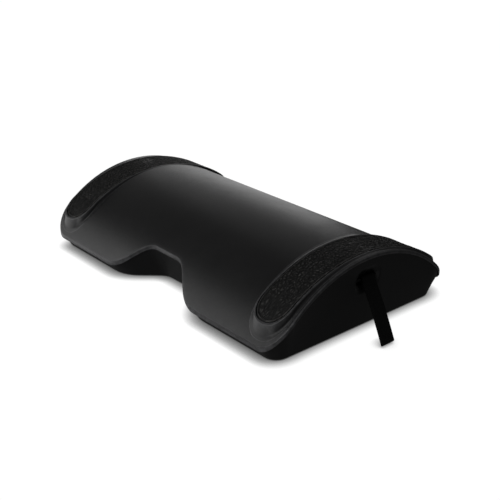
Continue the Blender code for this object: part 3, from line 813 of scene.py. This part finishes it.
def strap_path():
    """The webbing's own middle line (u along the strap, w across it): out, folded at the tip, back."""
    length = strap_frame()[0]
    eye = PIN_RADIUS + EYE_GAP + WEB_HALF
    gap = WEB_HALF + 0.06 * MM
    angles = np.linspace(math.radians(62), math.radians(298), 26)
    points = [(eye * math.cos(a), eye * math.sin(a)) for a in angles]
    start, stop = points[-1], points[0]
    shares = np.linspace(0, 1, 9)[1:]
    points += [(start[0] + (NECK - start[0]) * t, start[1] + (-gap - start[1]) * ease(t)) for t in shares]
    end = length - gap - WEB_HALF
    run = np.linspace(NECK, end, 84)[1:]
    points += [(u, -gap) for u in run]
    fold = np.linspace(-math.pi / 2, math.pi / 2, 9)[1:-1]
    points += [(end + gap * math.cos(a), gap * math.sin(a)) for a in fold]
    points += [(u, gap) for u in run[::-1]]
    points += [(NECK + (stop[0] - NECK) * t, gap + (stop[1] - gap) * ease(t)) for t in shares[:-1]]
    return np.array(points)


def webbing_length():
    """Length of the webbing before it is looped round the pin and sewn."""
    path = strap_path()
    return float(np.linalg.norm(np.roll(path, -1, axis=0) - path, axis=1).sum())


def pull_strap():
    """Doubled flat webbing: one closed band with rounded selvedges and a woven rib."""
    length, along, across = strap_frame()
    path = strap_path()
    ahead = np.roll(path, -1, axis=0) - np.roll(path, 1, axis=0)
    ahead /= np.linalg.norm(ahead, axis=1)[:, None]
    side_of = np.column_stack([-ahead[:, 1], ahead[:, 0]])
    steps = np.linalg.norm(np.roll(path, -1, axis=0) - path, axis=1)
    travel = np.concatenate([[0], np.cumsum(steps)[:-1]])
    half = STRAP_WIDTH / 2
    rib = np.linspace(-1, 1, 41)
    profile = []
    for face in (1, -1):
        for s in rib[::face]:
            edge = abs(s) ** 14
            y = s * half * (1 - SELVEDGE_NARROWING * edge)
            profile.append((y, face * WEB_HALF * (1 - SELVEDGE_THINNING * edge)))
    profile = np.array(profile)
    loops = []
    for (u, w), out, run in zip(path, side_of, travel):
        thick = profile[:, 1]
        weave = np.sin(run / WEB_PITCH * 2 * math.pi + np.sign(thick) * 0.5)
        weave = weave * np.cos(profile[:, 0] / WEB_CROSS_PITCH * 2 * math.pi)
        thick = thick + np.sign(thick) * weave * WEB_RELIEF
        points_u = u + out[0] * thick
        points_w = w + out[1] * thick
        y = profile[:, 0] + strap_drift(points_u, length)
        aside = np.column_stack([np.zeros(len(y)), y, np.zeros(len(y))])
        flat = points_u[:, None] * along + points_w[:, None] * across
        loops.append(flat + aside + np.array(PIN_CENTRE))
    skin = Skin()
    starts = skin.loops(loops)
    count = len(profile)
    for i in range(count):
        j = (i + 1) % count
        skin.faces.append([starts[-1] + i, starts[-1] + j, starts[0] + j, starts[0] + i])
    return skin.build("pull_strap_webbing", sharp=60)


STITCH_ROWS = (11 * MM, 13.4 * MM, -9.5 * MM, -7.1 * MM)  # from the pin, or from the tip where negative
STITCH_COUNT = 5
STITCH_PITCH = 3.3 * MM
STITCH_HALF_WIDTH = 0.3 * MM
STITCH_HALF_LENGTH = 1.15 * MM  # across the strap
STITCH_HALF_HEIGHT = 0.2 * MM
STITCH_PROUD = 0.1 * MM
STITCH_SINK = 0.12 * MM  # of its two ends into the webbing


def strap_stitches():
    """Two rows of thread across the doubled webbing, by the pin and by the tip, on both faces."""
    length, along, across = strap_frame()
    angles = np.linspace(0, 2 * math.pi, 9)[:-1]
    stitches = []
    for row, face, k in itertools.product(STITCH_ROWS, (-1, 1), range(STITCH_COUNT)):
        u = row if row > 0 else length + row
        centre_y = (k - STITCH_COUNT // 2) * STITCH_PITCH
        loops = []
        for t in np.linspace(-1, 1, 7):
            y = centre_y + STITCH_HALF_LENGTH * t + strap_drift(u, length)
            round_off = math.sqrt(max(0.02, 1 - t * t))
            w = face * (2 * WEB_HALF + STITCH_PROUD - STITCH_SINK + STITCH_SINK * round_off)
            du = STITCH_HALF_WIDTH * round_off ** 0.5 * np.cos(angles)
            dw = STITCH_HALF_HEIGHT * round_off ** 0.5 * np.sin(angles)
            flat = (u + du)[:, None] * along + (w + dw)[:, None] * across
            loops.append(flat + np.array([0, y, 0]) + np.array(PIN_CENTRE))
        stitches.append(loft("stitch", loops, 60))
    return gather("strap_stitching", stitches, 60)


# ---------------------------------------------------------------- materials

class Paint:
    """A small builder for node materials around one Principled shader."""

    def __init__(self, name, roughness, metallic=0.0, level=0.5):
        self.material = bpy.data.materials.new(name)
        self.material.use_nodes = True
        self.tree = self.material.node_tree
        self.shader = self.tree.nodes["Principled BSDF"]
        self.shader.inputs["Roughness"].default_value = roughness
        self.shader.inputs["Metallic"].default_value = metallic
        self.shader.inputs["Specular IOR Level"].default_value = level
        self.place = self.tree.nodes.new("ShaderNodeTexCoord").outputs["Object"]

    def node(self, kind, **values):
        node = self.tree.nodes.new(kind)
        for key, value in values.items():
            setattr(node, key, value)
        return node

    def link(self, source, target):
        self.tree.links.new(source, target)

    def stretched(self, scale):
        """The place on the object, scaled unequally."""
        mapping = self.node("ShaderNodeMapping")
        mapping.inputs["Scale"].default_value = scale
        self.link(self.place, mapping.inputs["Vector"])
        return mapping.outputs["Vector"]

    def noise(self, scale, detail=3.0, roughness=0.55, place=None, distortion=0.0):
        node = self.node("ShaderNodeTexNoise")
        node.inputs["Scale"].default_value = scale
        node.inputs["Detail"].default_value = detail
        node.inputs["Roughness"].default_value = roughness
        node.inputs["Distortion"].default_value = distortion
        self.link(place or self.place, node.inputs["Vector"])
        return node.outputs["Fac"]

    def cells(self, scale):
        """Distance to the edge of each cell of a Voronoi pattern."""
        node = self.node("ShaderNodeTexVoronoi", feature="DISTANCE_TO_EDGE")
        node.inputs["Scale"].default_value = scale
        self.link(self.place, node.inputs["Vector"])
        return node.outputs["Distance"]

    def spread(self, source, low, high, to_low, to_high):
        """source mapped from one range to another, and held inside it."""
        node = self.node("ShaderNodeMapRange")
        for key, value in (("From Min", low), ("From Max", high), ("To Min", to_low), ("To Max", to_high)):
            node.inputs[key].default_value = value
        self.link(source, node.inputs["Value"])
        return node.outputs["Result"]

    def maths(self, operation, a, b):
        node = self.node("ShaderNodeMath", operation=operation)
        for socket, value in zip(node.inputs, (a, b)):
            if isinstance(value, (int, float)):
                socket.default_value = value
            else:
                self.link(value, socket)
        return node.outputs["Value"]

    def blend(self, share, low, high):
        """A colour between two, each a triple or a socket."""
        node = self.node("ShaderNodeMix", data_type="RGBA")
        self.link(share, node.inputs["Factor"])
        for socket, value in ((node.inputs[6], low), (node.inputs[7], high)):
            if isinstance(value, tuple):
                socket.default_value = (*value, 1)
            else:
                self.link(value, socket)
        return node.outputs[2]

    def edges(self, low, high):
        """1 where the surface bends outwards more than high, 0 below low; swapped limits swap the ends."""
        geometry = self.node("ShaderNodeNewGeometry")
        return self.spread(geometry.outputs["Pointiness"], low, high, 0, 1)

    def colour(self, socket):
        self.link(socket, self.shader.inputs["Base Color"])

    def roughness(self, socket):
        self.link(socket, self.shader.inputs["Roughness"])

    def bump(self, layers):
        """Layers of (height socket, depth in metres), the first the coarsest."""
        normal = None
        for height, depth in layers:
            node = self.node("ShaderNodeBump")
            node.inputs["Distance"].default_value = depth
            self.link(height, node.inputs["Height"])
            if normal:
                self.link(normal, node.inputs["Normal"])
            normal = node.outputs["Normal"]
        self.link(normal, self.shader.inputs["Normal"])


def moulded_plastic(name, dark, light, roughness, grain, edge_highlight_gain):
    """Satin black moulding: a spark-eroded grain and faint flow marks, and a painted highlight that lightens
    its convex edges in patches, by the gain given.
    """
    paint = Paint(name, roughness)
    cloud = paint.noise(34, 4, 0.6)
    base = paint.blend(paint.spread(cloud, 0.3, 0.7, 0, 1), dark, light)
    highlight_patches = paint.spread(paint.noise(160, 3), 0.35, 0.65, 0.5, 1)
    # painted highlight along the convex edges, in patches: the base colour is blended towards the light tone
    # times the gain
    edge_highlight = paint.maths("MULTIPLY", paint.edges(0.502, 0.53), highlight_patches)
    paint.colour(paint.blend(edge_highlight, base, tuple(edge_highlight_gain * c for c in light)))
    mottle = paint.spread(paint.noise(900, 3), 0.3, 0.7, roughness - 0.05, roughness + 0.06)
    smear = paint.spread(paint.noise(12, 5, 0.7, distortion=0.4), 0.35, 0.7, -0.02, 0.035)
    paint.roughness(paint.maths("ADD", mottle, smear))
    paint.bump([(paint.noise(420, 2), grain * 1.2), (paint.noise(2300, 4, 0.65), grain)])
    return paint.material


def rubber_finish():
    """Matte black rubber: the pebbles are in the mesh, and this adds their grain, a dusty random tone and a
    painted highlight on the pebble tops.
    """
    paint = Paint("grip_rubber", 0.8, level=0.3)
    grit = paint.noise(1500, 4, 0.7)
    fine = paint.cells(900)
    dust = paint.noise(60, 5, 0.65)
    base = paint.blend(paint.spread(dust, 0.3, 0.72, 0, 1), (0.004, 0.004, 0.004), (0.009, 0.009, 0.0085))
    highlight_patches = paint.spread(paint.noise(170, 3, 0.6), 0.40, 0.6, 0.25, 1)
    # painted highlight: the pebble tops, in patches, are made much lighter, short of the sharpest points
    painted_top_highlight = paint.maths("MULTIPLY", paint.edges(0.505, 0.56), highlight_patches)
    painted_top_highlight = paint.maths("MULTIPLY", painted_top_highlight, paint.edges(0.60, 0.57))
    paint.colour(paint.blend(painted_top_highlight, base, (0.19, 0.186, 0.178)))
    paint.roughness(paint.spread(grit, 0.25, 0.75, 0.45, 0.75))
    paint.bump([(fine, 0.3 * MM), (grit, 0.18 * MM)])
    return paint.material


def webbing_finish():
    """Woven polyester: fine warp ribs, crossing picks and a few lighter fibres."""
    paint = Paint("strap_webbing", 0.85, level=0.3)
    warp = paint.node("ShaderNodeTexWave", bands_direction="Y")
    warp.inputs["Scale"].default_value = 360
    warp.inputs["Distortion"].default_value = 0.6
    paint.link(paint.place, warp.inputs["Vector"])
    weft = paint.node("ShaderNodeTexWave", bands_direction="Z")
    weft.inputs["Scale"].default_value = 260
    weft.inputs["Distortion"].default_value = 0.8
    paint.link(paint.place, weft.inputs["Vector"])
    weave = paint.maths("MULTIPLY", warp.outputs["Fac"], weft.outputs["Fac"])
    fibre = paint.noise(1.0, 4, 0.7, paint.stretched((900, 5200, 900)))
    share = paint.spread(fibre, 0.4, 0.75, 0, 1)
    paint.colour(paint.blend(share, (0.002, 0.002, 0.0021), (0.006, 0.006, 0.0065)))
    paint.roughness(paint.spread(fibre, 0.3, 0.7, 0.75, 0.95))
    paint.bump([(weave, 0.22 * MM), (fibre, 0.08 * MM)])
    return paint.material


def plated_finish(name, bright, dim, roughness):
    """A plated metal with turning marks and a little dulling."""
    paint = Paint(name, roughness, metallic=1.0)
    lines = paint.noise(1.0, 3, 0.6, paint.stretched((400, 5200, 5200)))
    dull = paint.noise(240, 4, 0.65)
    paint.colour(paint.blend(paint.spread(dull, 0.35, 0.7, 0, 1), bright, dim))
    paint.roughness(paint.spread(lines, 0.3, 0.7, roughness, roughness + 0.2))
    paint.bump([(lines, 0.02 * MM)])
    return paint.material


# ---------------------------------------------------------------- camera, lights and floor

CAMERA_AZIMUTH = 50.961  # degrees from -Y towards +X
CAMERA_ELEVATION = 23.691
CAMERA_ROLL = -1.325
CAMERA_PLACE = Vector((16.726, 21.007, 1209.118)) * MM  # to the right, up and back in its own axes
CAMERA_LENS = 67.10


def direction(azimuth, elevation):
    """A unit vector by azimuth, from -Y towards +X, and elevation, both in radians."""
    level = math.cos(elevation)
    return Vector((math.sin(azimuth) * level, -math.cos(azimuth) * level, math.sin(elevation)))


def make_camera():
    azimuth, roll = math.radians(CAMERA_AZIMUTH), math.radians(CAMERA_ROLL)
    back = direction(azimuth, math.radians(CAMERA_ELEVATION))
    level = Vector((math.cos(azimuth), math.sin(azimuth), 0))
    upright = back.cross(level)
    right = level * math.cos(roll) + upright * math.sin(roll)
    up = upright * math.cos(roll) - level * math.sin(roll)
    axes = Matrix((right, up, back)).transposed()
    data = bpy.data.cameras.new("camera")
    data.sensor_width = 36
    data.lens = CAMERA_LENS
    camera = bpy.data.objects.new("camera", data)
    camera.matrix_world = Matrix.Translation(axes @ CAMERA_PLACE) @ axes.to_4x4()
    bpy.context.scene.collection.objects.link(camera)
    bpy.context.scene.camera = camera


LIGHT_DISTANCE = 2.2
LIGHT_AIM = Vector((0, 0, 0.04))


class Softbox(NamedTuple):
    name: str
    azimuth: float
    elevation: float
    size: tuple
    power: float


SOFTBOXES = (
    Softbox("back_light", 232, 3, (1.1, 1.1), 3.9),
    Softbox("back_fill", 232, 35, (1.1, 1.1), 0.6),
    Softbox("side_fill", 255, 15, (1.1, 1.1), 0.85),
    Softbox("front_light", 310, 15, (1.1, 1.1), 5.8),
    Softbox("low_front_light", 305, -15, (2.6, 0.9), 7.0),
    Softbox("middle_light", 0, 8, (1.1, 1.1), 6.8),
    Softbox("edge_light", 147, 46, (0.9, 0.9), 1.4),
    Softbox("low_back_light", 237, -24, (1.0, 0.8), 2.6),
    Softbox("notch_light", 5, 40, (1.3, 1.1), 7),
    Softbox("under_light", 60, -35, (1.1, 1.1), 0.7),
)


def make_lights():
    """Soft rectangular lights round the footrest; the floor lets those below it through."""
    for box in SOFTBOXES:
        way = direction(math.radians(box.azimuth), math.radians(box.elevation))
        data = bpy.data.lights.new(box.name, "AREA")
        data.shape = "RECTANGLE"
        data.size, data.size_y = box.size
        data.energy = box.power
        lamp = bpy.data.objects.new(box.name, data)
        lamp.location = LIGHT_AIM + way * LIGHT_DISTANCE
        lamp.rotation_euler = way.to_track_quat("Z", "Y").to_euler()
        bpy.context.scene.collection.objects.link(lamp)


WORLD_GLOW = 0.052


def make_world():
    """A white backdrop for the camera, and a dim even glow for the object."""
    world = bpy.data.worlds.new("studio")
    world.use_nodes = True
    bpy.context.scene.world = world
    nodes, links = world.node_tree.nodes, world.node_tree.links
    background = nodes["Background"]
    background.inputs["Color"].default_value = (1, 1, 1, 1)
    path = nodes.new("ShaderNodeLightPath")
    strength = nodes.new("ShaderNodeMapRange")
    strength.inputs["To Min"].default_value = WORLD_GLOW
    strength.inputs["To Max"].default_value = 1.0
    links.new(path.outputs["Is Camera Ray"], strength.inputs["Value"])
    links.new(strength.outputs["Result"], background.inputs["Strength"])


FLOOR_HALF = 6.0
FLOOR_DROP = 0.05 * MM
SHADOW_REACH = 17 * MM


def make_floor():
    """A white floor that glows, with a faint shadow painted into its glow from ambient occlusion, and is
    clear from below so that the flat side can be seen.
    """
    half = FLOOR_HALF
    corners = [(-half, -half, 0), (half, -half, 0), (half, half, 0), (-half, half, 0)]
    mesh = bpy.data.meshes.new("floor")
    mesh.from_pydata(corners, [], [(0, 1, 2, 3)])
    floor = bpy.data.objects.new("floor", mesh)
    floor.location.z = -FLOOR_DROP
    bpy.context.scene.collection.objects.link(floor)
    paint = Paint("floor_white", 0.9, level=0.0)
    paint.shader.inputs["Base Color"].default_value = (0, 0, 0, 1)
    paint.shader.inputs["Emission Color"].default_value = (1, 1, 1, 1)
    # painted shadow: the floor's glow dims where ambient occlusion finds the footrest nearby
    open_sky = paint.node("ShaderNodeAmbientOcclusion", samples=16)
    open_sky.inputs["Distance"].default_value = SHADOW_REACH
    contact = paint.spread(open_sky.outputs["AO"], 0.1, 0.5, 0.01, 0.38)
    shadow = paint.spread(open_sky.outputs["AO"], 0.5, 0.95, 0, 0.64)
    paint.link(paint.maths("ADD", contact, shadow), paint.shader.inputs["Emission Strength"])
    clear = paint.node("ShaderNodeBsdfTransparent")
    mix = paint.node("ShaderNodeMixShader")
    geometry = paint.node("ShaderNodeNewGeometry")
    paint.link(geometry.outputs["Backfacing"], mix.inputs["Fac"])
    paint.link(paint.shader.outputs["BSDF"], mix.inputs[1])
    paint.link(clear.outputs["BSDF"], mix.inputs[2])
    paint.link(mix.outputs["Shader"], paint.tree.nodes["Material Output"].inputs["Surface"])
    mesh.materials.append(paint.material)
    floor.visible_glossy = False
    floor.visible_diffuse = False
    floor.visible_shadow = False


# ---------------------------------------------------------------- putting it together

def stand_for(piece, node, body, material):
    """piece takes the place of a CAD node: same body, the finish given, and the node hidden."""
    piece.data.materials.clear()
    piece.data.materials.append(material)
    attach(piece, body)
    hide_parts(node)


STRIP_SEED = 11.3
PAD_SEED = 91.7
SEED_STEP = 40  # between two pieces of the same kind


def main():
    noise.seed_set(RELIEF_SEED)
    make_camera()
    black_tones = (0.0105, 0.0105, 0.011), (0.0135, 0.0135, 0.014)
    badge_tones = (0.013, 0.013, 0.0135), (0.016, 0.016, 0.0165)
    # the shell's high gain paints a bright highlight line along its rounded edges; the walls' and badge's
    # gains barely lighten theirs
    shell = moulded_plastic("shell_plastic", *black_tones, roughness=0.37, grain=0.04 * MM, edge_highlight_gain=11)
    walls = moulded_plastic("wall_plastic", *black_tones, roughness=0.37, grain=0.04 * MM, edge_highlight_gain=1)
    badge = moulded_plastic("badge_plastic", *badge_tones, roughness=0.34, grain=0.02 * MM, edge_highlight_gain=2)
    grip = rubber_finish()
    web = webbing_finish()
    steel = plated_finish("plated_steel", (0.52, 0.53, 0.55), (0.36, 0.37, 0.38), 0.26)
    black = plated_finish("blackened_steel", (0.035, 0.035, 0.037), (0.02, 0.02, 0.021), 0.42)
    stand_for(arch_cover(), "arch_cover", "footrest", shell)
    stand_for(base_tray(), "base_tray", "footrest", walls)
    for i, (node, x) in enumerate((("rocker_strip_left", -RAIL_X), ("rocker_strip_right", RAIL_X))):
        strip = rubber(node + "_face", strip_slab(x, STRIP_SEED + SEED_STEP * i), STRIP_THICKNESS)
        stand_for(strip, node, "footrest", grip)
    for i, (node, side) in enumerate((("deck_pad_front", -1), ("deck_pad_back", 1))):
        pad = rubber(node + "_face", pad_slab(side, PAD_SEED + SEED_STEP * i), PAD_THICKNESS)
        stand_for(pad, node, "footrest", grip)
    stand_for(badge_plate(), "badge_plate", "footrest", badge)
    stand_for(strap_housing(), "strap_housing", "footrest", walls)
    strap = pull_strap()
    stand_for(strap, "pull_strap", "strap", web)
    stitches = strap_stitches()
    stitches.data.materials.append(web)
    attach(stitches, "strap")
    flat = (STRAP_WIDTH, webbing_length())
    for name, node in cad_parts.items():
        if "screw" in name or name == "strap_pin":
            for slot in node.material_slots:
                slot.material = black if name == "strap_pin" else steel
    make_world()
    make_lights()
    make_floor()
    bpy.context.scene.view_settings.view_transform = "Standard"


main()
